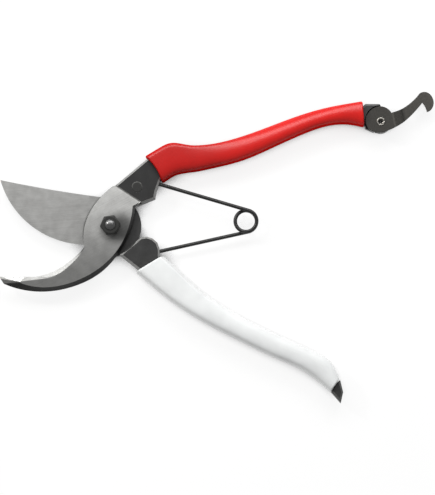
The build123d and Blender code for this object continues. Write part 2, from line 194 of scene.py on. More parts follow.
class GripSettings(bpy.types.PropertyGroup):
    """Sizes and colours of the two dipped grips."""

    thickness: FloatProperty(
        name="Thickness",
        description="Size of the sleeve from front to back",
        default=node_height("red_grip"),
        unit="LENGTH",
    )
    lip: FloatProperty(
        name="Lip",
        description="Radius of the rounded lip at each end of the sleeve",
        default=0.8 * MM,
        unit="LENGTH",
    )
    wall: FloatProperty(
        name="Wall",
        description="Depth of the sleeve's wall over the forged core, a little more than the vinyl",
        default=2.3 * MM,
        unit="LENGTH",
    )
    crown: FloatProperty(
        name="Crown",
        description="Half width of the ellipse that the front and back follow, over the sleeve's own",
        default=1.42,
    )
    mouth_crown: FloatProperty(
        name="Crown at the mouth",
        description="How much wider that ellipse is at the mouth, where the front is flat",
        default=2.0,
    )
    mouth_reach: FloatProperty(
        name="Mouth reach",
        description="Length over which the flat front at the mouth turns into the crown",
        default=26.0 * MM,
        unit="LENGTH",
    )
    red_crest: FloatProperty(
        name="Red crest",
        description="How far below the middle the red front is highest, as a share of the half width",
        default=0.3,
    )
    white_crest: FloatProperty(
        name="White crest",
        description="How far below the middle the white front is highest, as a share of the half width",
        default=0.14,
    )
    crest_reach: FloatProperty(
        name="Crest reach",
        description="Length over which the crest leaves the middle",
        default=45.0 * MM,
        unit="LENGTH",
    )
    crest_return: FloatProperty(
        name="Crest return",
        description="Length over which the crest comes back to the middle at the far end",
        default=20.0 * MM,
        unit="LENGTH",
    )
    upper_chamfer: FloatProperty(
        name="Upper chamfer",
        description="Slope of the strip between the front and the upper side, where 0 is upright",
        default=0.29,
    )
    red_chamfer: FloatProperty(
        name="Red lower chamfer",
        description="Slope of the red strip between the front and the lower side, where 0 is upright",
        default=1.0,
    )
    white_chamfer: FloatProperty(
        name="White lower chamfer",
        description="Slope of the white strip between the front and the lower side, where 0 is upright",
        default=0.5,
    )
    upper_side: FloatProperty(
        name="Upper side",
        description="Share of the half thickness where the upper side is upright",
        default=0.25,
    )
    lower_side: FloatProperty(
        name="Lower side",
        description="Share of the half thickness where the lower side is upright",
        default=0.72,
    )
    bow: FloatProperty(
        name="Mouth bow",
        description="How far the red sleeve's mouth draws back in its middle",
        default=0.9 * MM,
        unit="LENGTH",
    )
    red: FloatVectorProperty(
        name="Red",
        description="Colour of the grip on the hook's side",
        subtype="COLOR",
        default=linear("#CA1712"),
    )
    white: FloatVectorProperty(
        name="White",
        description="Colour of the grip on the blade's side",
        subtype="COLOR",
        default=linear("#F4F6F6"),
    )


class SpringSettings(bpy.types.PropertyGroup):
    """Sizes and colour of the return spring."""

    wire: FloatProperty(
        name="Wire",
        description="Diameter of the spring wire",
        default=1.8 * MM,
        unit="LENGTH",
    )
    coil: FloatProperty(
        name="Coil",
        description="Radius of the coil at the middle of the wire",
        default=5.15 * MM,
        unit="LENGTH",
    )
    rise: FloatProperty(
        name="Rise",
        description="Height between the two legs",
        default=3.1 * MM,
        unit="LENGTH",
    )
    seat_depth: FloatProperty(
        name="Seat depth",
        description="Length of each leg inside its tang",
        default=5.0 * MM,
        unit="LENGTH",
    )
    loop_share: FloatProperty(
        name="Coil's share",
        description="Share of the blade half's turn that the coil follows",
        default=0.385,
    )
    black: FloatVectorProperty(
        name="Wire colour",
        description="Colour of the oil-blackened wire",
        subtype="COLOR",
        default=linear("#383838"),
    )


class SteelSettings(bpy.types.PropertyGroup):
    """Colours of the steel pieces."""

    ground: FloatVectorProperty(
        name="Ground",
        description="Colour of the ground blade steel",
        subtype="COLOR",
        default=linear("#CFCFCD"),
    )
    scale: FloatVectorProperty(
        name="Forge scale",
        description="Colour of the black scale left on the forgings",
        subtype="COLOR",
        default=linear("#252525"),
    )
    oxide: FloatVectorProperty(
        name="Nut and pin",
        description="Colour of the black oxide on the nut and the tang's pin",
        subtype="COLOR",
        default=linear("#3C3C3B"),
    )
    bolt: FloatVectorProperty(
        name="Bolt",
        description="Colour of the bolt's oiled steel",
        subtype="COLOR",
        default=linear("#707070"),
    )
    pressed: FloatVectorProperty(
        name="Catch",
        description="Colour of the blackened catch",
        subtype="COLOR",
        default=linear("#484642"),
    )
    plated: FloatVectorProperty(
        name="Rivet",
        description="Colour of the plated rivet",
        subtype="COLOR",
        default=linear("#AFACA5"),
    )


class RivetSettings(bpy.types.PropertyGroup):
    """Sizes of the hollow rivet."""

    bore: FloatProperty(
        name="Rivet bore",
        description="Radius of the hollow rivet's bore",
        default=1.05 * MM,
        unit="LENGTH",
    )
    shank: FloatProperty(
        name="Rivet shank",
        description="Radius of the rivet inside the lug",
        default=1.6 * MM,
        unit="LENGTH",
    )
    rim: FloatProperty(
        name="Rivet rim",
        description="Half the thickness of the rivet's flared rim",
        default=0.2 * MM,
        unit="LENGTH",
    )


class StageSettings(bpy.types.PropertyGroup):
    """Camera, lamps and floor."""

    aim: FloatVectorProperty(
        name="Aim",
        description="Point at the middle of the picture",
        subtype="XYZ",
        unit="LENGTH",
        default=(51.5 * MM, -10.4 * MM, 7.0 * MM),
    )
    distance: FloatProperty(
        name="Distance",
        description="From the camera to the aim",
        default=2.0,
        unit="LENGTH",
    )
    tilt: FloatProperty(
        name="Tilt",
        description="How far the camera leans from straight above, towards the white handle",
        default=math.radians(5.0),
        subtype="ANGLE",
    )
    height: FloatProperty(
        name="Picture height",
        description="Height of what the picture shows at the aim",
        default=238.2 * MM,
        unit="LENGTH",
    )
    ambient: FloatProperty(
        name="Surroundings",
        description="Strength of the even light from all round",
        default=0.27,
    )


def unit(vectors):
    """The vectors along the last axis, each made one long."""
    return vectors / np.linalg.norm(vectors, axis=-1, keepdims=True)


def cubic_through(knots, points, places):
    """The natural cubic spline through points at the knots, read at the places.

    On each span the curve is a*p + b*q + ((a^3 - a)*m + (b^3 - b)*n)*h^2/6, where p and q are the
    span's points, a and b the shares of the way left and gone, h its length, and m and n the second
    derivatives at its ends, from one linear system that keeps the slope unbroken.
    """
    spans = np.diff(knots)
    count = len(knots)
    system = np.eye(count)
    inner = np.arange(1, count - 1)
    system[inner, inner - 1] = spans[:-1]
    system[inner, inner] = 2 * (spans[:-1] + spans[1:])
    system[inner, inner + 1] = spans[1:]
    turns = np.zeros_like(points)
    turns[1:-1] = 6 * np.diff(np.diff(points, axis=0) / spans[:, None], axis=0)
    bends = np.linalg.solve(system, turns)
    span = np.clip(np.searchsorted(knots, places, side="right") - 1, 0, count - 2)
    length = spans[span][..., None]
    gone = (places - knots[span])[..., None] / length
    left = 1 - gone
    bulge = (left**3 - left) * bends[span] + (gone**3 - gone) * bends[span + 1]
    return left * points[span] + gone * points[span + 1] + bulge * length**2 / 6


def surface(name, grid, material, ring=False, sharp=None):
    """A mesh object from a grid of points, rows by columns, where each row closes on itself.

    Each quad joins two neighbours of a row to the same two of the next row. With ring the last row
    joins the first, and otherwise a fan of triangles shuts each end row. The signed volume, a sum of
    triple products, tells whether the faces look inwards, and then they are turned round.
    """
    rows, columns, _ = grid.shape
    index = np.arange(rows * columns).reshape(rows, columns)
    here = index if ring else index[:-1]
    there = np.roll(index, -1, axis=0) if ring else index[1:]
    quads = np.stack((here, np.roll(here, -1, 1), np.roll(there, -1, 1), there), -1).reshape(-1, 4)
    points = grid.reshape(-1, 3)
    fans = np.zeros((0, 3), int)
    if not ring:
        points = np.vstack((points, grid[0].mean(0), grid[-1].mean(0)))
        first = np.full(columns, rows * columns)
        start = np.stack((np.roll(index[0], -1), index[0], first), -1)
        end = np.stack((index[-1], np.roll(index[-1], -1), first + 1), -1)
        fans = np.vstack((start, end))
    triangles = np.vstack((quads[:, :3], quads[:, [0, 2, 3]], fans))
    a, b, c = (points[triangles[:, i]] for i in range(3))
    if np.einsum("ij,ij->", a, np.cross(b, c)) < 0:
        quads, fans = quads[:, ::-1], fans[:, ::-1]
    mesh = bpy.data.meshes.new(name)
    mesh.from_pydata(points.tolist(), [], quads.tolist() + fans.tolist())
    mesh.polygons.foreach_set("use_smooth", np.ones(len(mesh.polygons), bool))
    if sharp is not None:
        mesh.set_sharp_from_angle(angle=sharp)
    mesh.materials.append(material)
    piece = bpy.data.objects.new(name, mesh)
    bpy.context.scene.collection.objects.link(piece)
    return piece


def grip_grid(stations, sizes, bow, crest_drop, lower_chamfer):
    """A dipped sleeve as rows that run out along it, over the end's lip, back inside and over the mouth's.

    The two edges follow a cubic through the stations. With u and w the shares of a row's half width
    and half depth, its section lies inside three bounds: the crowned front and back, where
    ((u + crest)/crown)^2 + w^2 = 1, the chamfered strips, where |u| + chamfer*(|w| - side) = 1, and
    the sides, where |u| = 1. Their radii r at a turn join as (sum of r^-n)^(-1/n), which leaves a
    crease, crisp above where n is large and soft below. The crest leaves the middle and comes back to
    it by 1 - exp(-s^2). The lining is |u|^p + |w|^p = 1. A row is made smaller by its inset: nothing
    outside, lip*(1 - cos) round a quarter-circle lip, and the wall inside. The mouth's bow moves a
    row along by bow*(1 - u^2), and dies away along the sleeve.
    """
    edges = np.array(stations).reshape(-1, 4) * MM
    middles = (edges[:, :2] + edges[:, 2:]) / 2
    knots = np.concatenate(([0.0], np.cumsum(np.linalg.norm(np.diff(middles, axis=0), axis=1))))
    length, lip = knots[-1], sizes.lip
    arc = np.linspace(0, math.pi / 2, LIP_ROWS)
    body = np.linspace(lip, length - lip, SLEEVE_ROWS)[1:-1]
    inside = np.linspace(length, 0, LINING_ROWS)
    run = lip * (1 - np.sin(arc))
    along = np.concatenate((run[::-1], body, length - run, inside))
    curl = lip * (1 - np.cos(arc))
    inset = np.concatenate((curl[::-1], 0 * body, curl, 0 * inside + sizes.wall))
    hollow = np.concatenate((0 * arc, 0 * body, 0 * arc, 0 * inside + 1))

    turn = np.linspace(0, 2 * math.pi, SLEEVE_COLUMNS, endpoint=False)
    u, w = np.abs(np.cos(turn)), np.abs(np.sin(turn))
    crown = (sizes.crown + sizes.mouth_crown * np.exp(-((along / sizes.mouth_reach) ** 2)))[:, None]
    above = np.cos(turn) > 0
    chamfer = np.where(above, sizes.upper_chamfer, lower_chamfer)
    side = np.where(above, sizes.upper_side, sizes.lower_side)
    strip = (u + chamfer * w) / (1 + chamfer * side)
    from_ends = np.stack((along / sizes.crest_reach, (length - along) / sizes.crest_return))
    crest = (crest_drop * np.prod(1 - np.exp(-(from_ends**2)), axis=0))[:, None]
    slope = np.cos(turn) * crest / crown**2
    bulge = (u / crown) ** 2 + w**2
    front = bulge / (np.sqrt(slope**2 + bulge * (1 - (crest / crown) ** 2)) - slope)
    crease = np.where(above, UPPER_CREASE, LOWER_CREASE)
    coat = (front**crease + strip**crease + u**crease) ** (-1 / crease)
    lining = (u**LINING_POWER + w**LINING_POWER) ** (-1 / LINING_POWER)
    radius = np.where(hollow[:, None] > 0, lining, coat)
    x, z = radius * np.cos(turn), radius * np.sin(turn)
    drawn_back = bow * (1 - x**2) * np.exp(-along[:, None] / BOW_FADE)
    line = cubic_through(knots, edges, along[:, None] + drawn_back)
    upper, lower = line[..., :2], line[..., 2:]
    across = unit(upper - lower)
    half_width = np.linalg.norm(upper - lower, axis=-1) / 2 - inset[:, None]
    half_depth = sizes.thickness / 2 - inset[:, None]
    plan = (upper + lower) / 2 + across * (half_width * x)[..., None]
    return np.concatenate((plan, (sizes.thickness / 2 + half_depth * z)[..., None]), -1)


def spring_rows(sizes, middle):
    """The spring wire's centre points, and each one's share of the blade half's turn.

    Both legs are straight and tangent to the coil. The coil is a circle that sinks by a smooth step,
    s*s*(3 - 2*s), from the red leg's level to the white one's. A leg's share goes from its own half's,
    0 or 1, to the coil's by a power of sin(s*pi/2), which keeps both legs clear of the grips when closed.
    """
    centre = np.array(COIL_CENTRE) * MM
    seats = np.array((RED_SEAT, WHITE_SEAT)) * MM
    reach = centre - seats
    sight = np.arctan2(reach[:, 1], reach[:, 0])
    swing = np.arcsin(sizes.coil / np.linalg.norm(reach, axis=1))
    red_angle, white_angle = sight + swing * (1, -1)
    levels = middle + sizes.rise / 2 * np.array((1, -1))
    # One turn and a half, and what the legs' directions add
    turn = 3 * math.pi + red_angle - white_angle

    share = np.linspace(0, 1, COIL_ROWS)
    heading = red_angle - share * turn
    step = share**2 * (3 - 2 * share)
    coil = np.stack(
        (
            centre[0] - sizes.coil * np.sin(heading),
            centre[1] + sizes.coil * np.cos(heading),
            levels[0] - sizes.rise * step,
        ),
        -1,
    )
    gone = np.linspace(0, 1, LEG_ROWS, endpoint=False)[:, None]
    legs = []
    for seat, level, angle, joint in zip(seats, levels, (red_angle, white_angle), (coil[0], coil[-1])):
        way = np.array((math.cos(angle), math.sin(angle), 0))
        end = np.array((*seat, level)) - way * sizes.seat_depth
        legs.append(end + gone * (joint - end))
    seat_share = sizes.seat_depth / np.linalg.norm(coil[0] - legs[0][0])
    free = np.clip((gone[:, 0] - seat_share) / (1 - seat_share), 0, 1)
    ease = np.sin(free * math.pi / 2) ** LEG_EASE
    loop = sizes.loop_share
    path = np.vstack((legs[0], coil, legs[1][::-1]))
    follow = np.concatenate((loop * ease, 0 * share + loop, (1 + (loop - 1) * ease)[::-1]))
    return path, follow


def tube_grid(path, radius, columns):
    """Circles carried along a path: across the way each point is offset by r*(cos*side + sin*over)."""
    way = unit(np.gradient(path, axis=0))
    side = unit(np.cross(way, UP))
    over = np.cross(side, way)
    turn = np.linspace(0, 2 * math.pi, columns, endpoint=False)[None, :, None]
    return path[:, None] + radius * (np.cos(turn) * side[:, None] + np.sin(turn) * over[:, None])


def lathe_grid(rows, centre, columns, lobes):
    """Rows of radius, height and lobe turned about an upright axis.

    Each column's radius is the row's, times 1 + lobe*cos(lobes*turn).
    """
    turn = np.linspace(0, 2 * math.pi, columns, endpoint=False)
    radius, height, lobe = np.array(rows).T[..., None]
    reach = radius * (1 + lobe * np.cos(lobes * turn))
    x = centre[0] + reach * np.cos(turn)
    y = centre[1] + reach * np.sin(turn)
    return np.stack((x, y, np.broadcast_to(height, x.shape)), -1)


def rivet_grid(sizes):
    """The hollow rivet as closed rows of radius, height and star, from its bore over its mouth and back.

    The setting tool pressed points into the flared mouth, so there the radius is wavy.
    """
    low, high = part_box("catch_rivet")
    bore, shank, rim = sizes.bore, sizes.shank, sizes.rim
    flange = (high.x - low.x) / 2
    rows = (
        (bore, low.z + rim, 0.0),
        (bore, high.z - 4 * rim, 0.0),
        (bore, high.z - 2 * rim, 0.06),
        (1.12 * bore, high.z - rim, 0.14),
        (1.3 * bore, high.z - 0.3 * rim, 0.14),
        (1.5 * bore, high.z, 0.08),
        (0.9 * flange, high.z - 0.1 * rim, 0.0),
        (flange, high.z - rim, 0.0),
        (0.97 * flange, high.z - 2 * rim, 0.0),
        (shank, high.z - 2 * rim, 0.0),
        (shank, low.z + 2 * rim, 0.0),
        (0.97 * flange, low.z + 2 * rim, 0.0),
        (flange, low.z + rim, 0.0),
        (0.9 * flange, low.z, 0.0),
        (1.2 * bore, low.z, 0.0),
    )
    centre = (low.x + high.x) / 2, (low.y + high.y) / 2
    return lathe_grid(rows, centre, RIVET_COLUMNS, STAR_POINTS)


def rgba(colour):
    """A colour property as four numbers."""
    return (*colour, 1.0)


def add_node(tree, kind, inputs=None, **settings):
    """Adds a shader node with its settings, and links or sets each input, by its name or its number.

    A MapRange's inputs 1 to 4 are the ends of its range before and after. A Mix has its two ends at
    2 and 3 for numbers, 4 and 5 for vectors, and 6 and 7 for colours.
    """
    node = tree.nodes.new("ShaderNode" + kind)
    for name, value in settings.items():
        setattr(node, name, value)
    for name, value in (inputs or {}).items():
        if isinstance(value, bpy.types.NodeSocket):
            tree.links.new(value, node.inputs[name])
        else:
            node.inputs[name].default_value = value
    return node


def new_material(name):
    """An empty node material and its tree."""
    material = bpy.data.materials.new(name)
    material.use_nodes = True
    material.node_tree.nodes.clear()
    return material, material.node_tree


def place_and_normal(tree):
    """Object coordinates in millimetres, and the normal in the object's own axes."""
    coordinates = add_node(tree, "TexCoord")
    metres = coordinates.outputs["Object"]
    place = add_node(tree, "VectorMath", {0: metres, "Scale": 1 / MM}, operation="SCALE")
    return place.outputs[0], coordinates.outputs["Normal"]


def levelness(tree, normal):
    """How level a face lies: 1 on the front and the back, and 0 on an upright side."""
    upright = add_node(tree, "SeparateXYZ", {0: normal}).outputs["Z"]
    return add_node(tree, "Math", {0: upright}, operation="ABSOLUTE").outputs[0]


def distance_from(tree, place, centre):
    """Distance in plan from a centre, in millimetres."""
    offset = add_node(tree, "VectorMath", {0: place, 1: (*centre, 0.0)}, operation="SUBTRACT").outputs[0]
    plan = add_node(tree, "VectorMath", {0: offset, 1: (1.0, 1.0, 0.0)}, operation="MULTIPLY").outputs[0]
    return add_node(tree, "VectorMath", {0: plan}, operation="LENGTH").outputs["Value"]


def distance_along(tree, place, start, way):
    """Distance in plan from a start in one direction, in millimetres."""
    offset = add_node(tree, "VectorMath", {0: place, 1: (*start, 0.0)}, operation="SUBTRACT").outputs[0]
    ahead = {0: offset, 1: (*way, 0.0)}
    return add_node(tree, "VectorMath", ahead, operation="DOT_PRODUCT").outputs["Value"]


def side_of_line(tree, place, line, width):
    """A mask that is 1 on the left of a line in plan and 0 on its right, over this width in millimetres."""
    start, end = np.array(line)
    along = unit(end - start)
    distance = distance_along(tree, place, start, (-along[1], along[0]))
    return add_node(tree, "MapRange", {"Value": distance, 1: 0.0, 2: width}).outputs[0]


def forging_material(name, colours, grind_turn, tone_and_painted_light, sooty, find_marks):
    """Forged carbon steel: ground bright on the blade, black scale elsewhere, filed along its edges.

    Grinding leaves long fine lines one way, so the bright steel has streaks drawn out along the grind
    and a satin gloss. Scale is matt, dark and slightly pitted. The lines of a 60 grit belt are about
    0.25 mm apart, which is near the picture's own resolution. The ground steel's brightness is given at
    both ends of its range along y, where a rise is painted light, lighter above; sooty gives the scale's.
    Bevels are painted lighter and upright sides darker, and the marks bring painted shade.
    """
    material, tree = new_material(name)
    place, normal = place_and_normal(tree)
    handle, black, polished, painted_shade = find_marks(tree, place, normal)
    lean = levelness(tree, normal)
    axes = add_node(tree, "SeparateXYZ", {0: place})

    # Grinding lines, fine and broad, over soft clouds
    turned = add_node(tree, "Mapping", {0: place, "Rotation": (0, 0, -grind_turn)})
    streaks = []
    for scale in STREAKS_PER_MM:
        drawn = add_node(tree, "Mapping", {0: turned.outputs[0], "Scale": scale})
        noise = add_node(tree, "TexNoise", {"Vector": drawn.outputs[0], "Scale": 1.0, "Detail": 3.0})
        streaks.append(noise.outputs[0])
    grain = add_node(tree, "Math", {0: streaks[0], 1: streaks[1]}, operation="ADD").outputs[0]
    lines = add_node(
        tree, "MapRange", {"Value": grain, 1: STREAK_LOW, 2: STREAK_HIGH, 3: 0.8, 4: 1.12}
    ).outputs[0]
    patches = add_node(
        tree, "TexNoise", {"Vector": place, "Scale": PATCHES_PER_MM, "Detail": 3.0}
    ).outputs[0]
    cloud = add_node(
        tree, "MapRange", {"Value": patches, 1: NOISE_LOW, 2: NOISE_HIGH, 3: 0.88, 4: 1.1}
    ).outputs[0]
    shade = add_node(tree, "Math", {0: lines, 1: cloud}, operation="MULTIPLY").outputs[0]

    # Level faces take the ground brightness with its painted light. Bevels, ground once more, and the strip
    # ground with them are painted lighter, and upright sides painted darker, as if in shade
    reach = add_node(
        tree,
        "MapRange",
        {"Value": axes.outputs["Y"], 1: GROUND_PAINTED_LIGHT_RANGE[0], 2: GROUND_PAINTED_LIGHT_RANGE[1], 3: tone_and_painted_light[0], 4: tone_and_painted_light[1]},
        interpolation_type="SMOOTHSTEP",
    ).outputs[0]
    flush = add_node(tree, "MapRange", {"Value": lean, 1: 0.8, 2: 0.95}).outputs[0]
    level = add_node(
        tree, "Math", {0: flush, 1: polished}, operation="SUBTRACT", use_clamp=True
    ).outputs[0]
    painted_steep_light = add_node(tree, "MapRange", {"Value": lean, 1: 0.3, 2: 0.5, 3: 0.15, 4: 1.5}).outputs[0]
    finish = add_node(tree, "Mix", {0: level, 2: painted_steep_light, 3: reach}).outputs[0]
    unshaded = add_node(tree, "Math", {0: shade, 1: finish}, operation="MULTIPLY").outputs[0]
    # Painted shade: the nut's shadow on the hook and the corner shade on the blade
    light = add_node(tree, "Math", {0: unshaded, 1: painted_shade}, operation="MULTIPLY").outputs[0]
    bright = add_node(
        tree, "VectorMath", {0: tuple(colours.ground), "Scale": light}, operation="SCALE"
    ).outputs[0]

    # Black scale with pits and patches
    pits = add_node(
        tree, "TexNoise", {"Vector": place, "Scale": PITS_PER_MM, "Detail": 4.0, "Roughness": 0.7}
    ).outputs[0]
    speckle = add_node(tree, "Math", {0: pits, 1: patches}, operation="ADD").outputs[0]
    blotch = add_node(
        tree, "MapRange", {"Value": speckle, 1: 2 * NOISE_LOW, 2: 2 * NOISE_HIGH, 3: 0.55, 4: 1.6}
    ).outputs[0]
    fade = add_node(
        tree,
        "MapRange",
        {"Value": axes.outputs["X"], 1: SCALE_RANGE[0], 2: SCALE_RANGE[1], 3: sooty[0], 4: sooty[1]},
    ).outputs[0]
    soot = add_node(tree, "Math", {0: blotch, 1: fade}, operation="MULTIPLY").outputs[0]
    dark = add_node(
        tree, "VectorMath", {0: tuple(colours.scale), "Scale": soot}, operation="SCALE"
    ).outputs[0]

    # Edges where the scale is worn off, and the chamfers near 45 degrees where it is filed off
    rounded = add_node(tree, "Bevel", {"Radius": 0.15 * MM}, samples=6).outputs[0]
    geometry = add_node(tree, "NewGeometry")
    flat = add_node(
        tree, "VectorMath", {0: rounded, 1: geometry.outputs["True Normal"]}, operation="DOT_PRODUCT"
    ).outputs["Value"]
    worn = add_node(tree, "MapRange", {"Value": flat, 1: 0.97, 2: 0.8, 3: 0.0, 4: 0.3}).outputs[0]
    filed = add_node(tree, "MapRange", {"Value": lean, 1: 0.75, 2: 0.71, 3: 0.0, 4: 0.36}).outputs[0]
    wall = add_node(tree, "MapRange", {"Value": lean, 1: 0.6, 2: 0.68, 3: 0.0, 4: 1.0}).outputs[0]
    strip = add_node(tree, "Math", {0: filed, 1: wall}, operation="MULTIPLY").outputs[0]
    near = add_node(
        tree,
        "MapRange",
        {"Value": axes.outputs["X"], 1: FILED_RANGE[0], 2: FILED_RANGE[1], 3: 1.0, 4: 0.25},
    ).outputs[0]
    kept = add_node(tree, "Math", {0: handle, 1: near}, operation="MULTIPLY").outputs[0]
    chamfer = add_node(tree, "Math", {0: strip, 1: kept}, operation="MULTIPLY").outputs[0]
    edge = add_node(tree, "Math", {0: worn, 1: chamfer}, operation="MAXIMUM").outputs[0]
    covered = add_node(tree, "Math", {0: 1.0, 1: edge}, operation="SUBTRACT").outputs[0]
    scaled = add_node(tree, "Math", {0: black, 1: covered}, operation="MULTIPLY").outputs[0]

    # Ground steel is metal with a satin gloss, scale is matt and no metal to the eye
    colour = add_node(tree, "Mix", {0: scaled, 6: bright, 7: dark}, data_type="RGBA").outputs[2]
    metal = add_node(tree, "MapRange", {"Value": scaled, 3: 1.0, 4: 0.0}).outputs[0]
    gloss = add_node(
        tree, "MapRange", {"Value": grain, 1: STREAK_LOW, 2: STREAK_HIGH, 3: 0.46, 4: 0.34}
    ).outputs[0]
    dull = add_node(tree, "Mix", {0: level, 2: 0.5, 3: gloss}).outputs[0]
    satin = add_node(tree, "Mix", {0: scaled, 2: dull, 3: 0.5}).outputs[0]
    rough = add_node(tree, "Math", {0: satin, 1: worn}, operation="ADD").outputs[0]
    relief = add_node(tree, "Mix", {0: scaled, 2: grain, 3: speckle}).outputs[0]
    crisp = add_node(
        tree, "Mix", {0: black, 4: geometry.outputs["Normal"], 5: rounded}, data_type="VECTOR"
    ).outputs[1]
    bump = add_node(
        tree, "Bump", {"Height": relief, "Normal": crisp, "Strength": 0.25, "Distance": 0.05 * MM}
    ).outputs[0]
    shader = add_node(
        tree,
        "BsdfPrincipled",
        {"Base Color": colour, "Metallic": metal, "Roughness": rough, "Normal": bump},
    )
    add_node(tree, "OutputMaterial", {"Surface": shader.outputs[0]})
    return material


def hook_marks(tree, place, normal):
    """Where the hook forging is handle, black and ground once more, and where the nut's shadow is painted.

    Black are the tang, and the hook's outer bevel, rim and tip, which look away from the jaw. The flat
    runs out towards the tip under a strip that was ground with the inner bevel. Below and right of the
    nut the plate is darkened by a painted shadow of the nut.
    """
    tang = side_of_line(tree, place, PLATE_END, 0.9)
    outward = add_node(
        tree, "VectorMath", {0: normal, 1: HOOK_OUTWARD}, operation="DOT_PRODUCT"
    ).outputs["Value"]
    rim = add_node(tree, "MapRange", {"Value": outward, 1: 0.12, 2: 0.3}).outputs[0]
    below = side_of_line(tree, place, HOOK_TIP_LINE, 0.4)
    beyond = side_of_line(tree, place, HOOK_FACE_END, 0.3)
    end = add_node(tree, "Math", {0: below, 1: beyond}, operation="MULTIPLY").outputs[0]
    tip = add_node(tree, "Math", {0: end, 1: 0.87}, operation="MULTIPLY").outputs[0]
    hook = add_node(tree, "Math", {0: rim, 1: tip}, operation="MAXIMUM").outputs[0]
    black = add_node(tree, "Math", {0: tang, 1: hook}, operation="MAXIMUM").outputs[0]
    above = side_of_line(tree, place, HOOK_FLAT_END, 0.3)
    near_tip = side_of_line(tree, place, HOOK_FLAT_START, 6.0)
    polished = add_node(tree, "Math", {0: above, 1: near_tip}, operation="MULTIPLY").outputs[0]
    # Painted shadow of the nut, falling on the plate below and right of it
    away = distance_from(tree, place, NUT_SHADOW_CENTRE)
    painted_shade = add_node(
        tree,
        "MapRange",
        {"Value": away, 1: NUT_SHADOW_RADII_MM[0], 2: NUT_SHADOW_RADII_MM[1], 3: 0.27, 4: 1.0},
        interpolation_type="SMOOTHSTEP",
    ).outputs[0]
    return tang, black, polished, painted_shade


def blade_marks(tree, place, normal):
    """Where the blade forging is handle and black, and where shade is painted in a corner.

    Black starts past a line across the boss, apart from its machined back. The corner below the edge
    of the plate that slides over the blade is painted darker as shade, by how hidden it is.
    """
    tang = side_of_line(tree, place, BLADE_END, 0.8)
    radius = distance_from(tree, place, PIVOT_CENTRE)
    outside = add_node(
        tree, "MapRange", {"Value": radius, 1: BOSS_RADIUS_MM - 0.3, 2: BOSS_RADIUS_MM}
    ).outputs[0]
    upright = add_node(tree, "SeparateXYZ", {0: normal}).outputs["Z"]
    front = add_node(tree, "MapRange", {"Value": upright, 1: -0.6, 2: -0.5}).outputs[0]
    kept = add_node(tree, "Math", {0: outside, 1: front}, operation="MAXIMUM").outputs[0]
    black = add_node(tree, "Math", {0: tang, 1: kept}, operation="MULTIPLY").outputs[0]
    # Painted shade in the corner that the plate's edge hides
    nook = add_node(tree, "AmbientOcclusion", {"Distance": 1.1 * MM}, samples=8).outputs["AO"]
    painted_corner_shade = add_node(tree, "MapRange", {"Value": nook, 1: 0.5, 2: 0.85, 3: 0.3, 4: 1.0}).outputs[0]
    return outside, black, 0.0, painted_corner_shade


def vinyl_material(name, colour, gloss, side_gloss, painted_mouth_shade):
    """Dipped PVC: a soft gloss and the faint waves of a coat that set by itself.

    The front and back have one strength of gloss and the upright sides, which a hand rubs, another.
    The colour is darker by the mouth and paler by as much beyond it: painted shade by the mouth and
    painted light towards the far end.
    """
    material, tree = new_material(name)
    place, normal = place_and_normal(tree)
    lean = levelness(tree, normal)
    sheen = add_node(
        tree, "MapRange", {"Value": lean, 1: 0.35, 2: 0.85, 3: side_gloss, 4: gloss}
    ).outputs[0]
    waves = add_node(tree, "TexNoise", {"Vector": place, "Scale": WAVES_PER_MM, "Detail": 1.0}).outputs[0]
    skin = add_node(tree, "TexNoise", {"Vector": place, "Scale": SKIN_PER_MM, "Detail": 3.0}).outputs[0]
    ripple = add_node(
        tree, "MapRange", {"Value": waves, 1: NOISE_LOW, 2: NOISE_HIGH, 3: 0.96, 4: 1.04}
    ).outputs[0]
    # Painted light along the grip: darker by the mouth, lighter towards the far end
    length = add_node(tree, "SeparateXYZ", {0: place}).outputs["X"]
    coat = add_node(
        tree,
        "MapRange",
        {"Value": length, 1: VINYL_PAINTED_LIGHT_RANGE[0], 2: VINYL_PAINTED_LIGHT_RANGE[1], 3: painted_mouth_shade, 4: 2 - painted_mouth_shade},
        interpolation_type="SMOOTHSTEP",
    ).outputs[0]
    shade = add_node(tree, "Math", {0: ripple, 1: coat}, operation="MULTIPLY").outputs[0]
    tint = add_node(tree, "VectorMath", {0: tuple(colour), "Scale": shade}, operation="SCALE").outputs[0]
    rough = add_node(
        tree, "MapRange", {"Value": skin, 1: NOISE_LOW, 2: NOISE_HIGH, 3: 0.3, 4: 0.36}
    ).outputs[0]
    swell = add_node(tree, "Bump", {"Height": waves, "Strength": 0.1, "Distance": 0.3 * MM}).outputs[0]
    bump = add_node(
        tree, "Bump", {"Height": skin, "Normal": swell, "Strength": 0.04, "Distance": 0.05 * MM}
    ).outputs[0]
    shader = add_node(
        tree,
        "BsdfPrincipled",
        {"Base Color": tint, "Roughness": rough, "IOR": 1.53, "Specular IOR Level": sheen, "Normal": bump},
    )
    add_node(tree, "OutputMaterial", {"Surface": shader.outputs[0]})
    return material


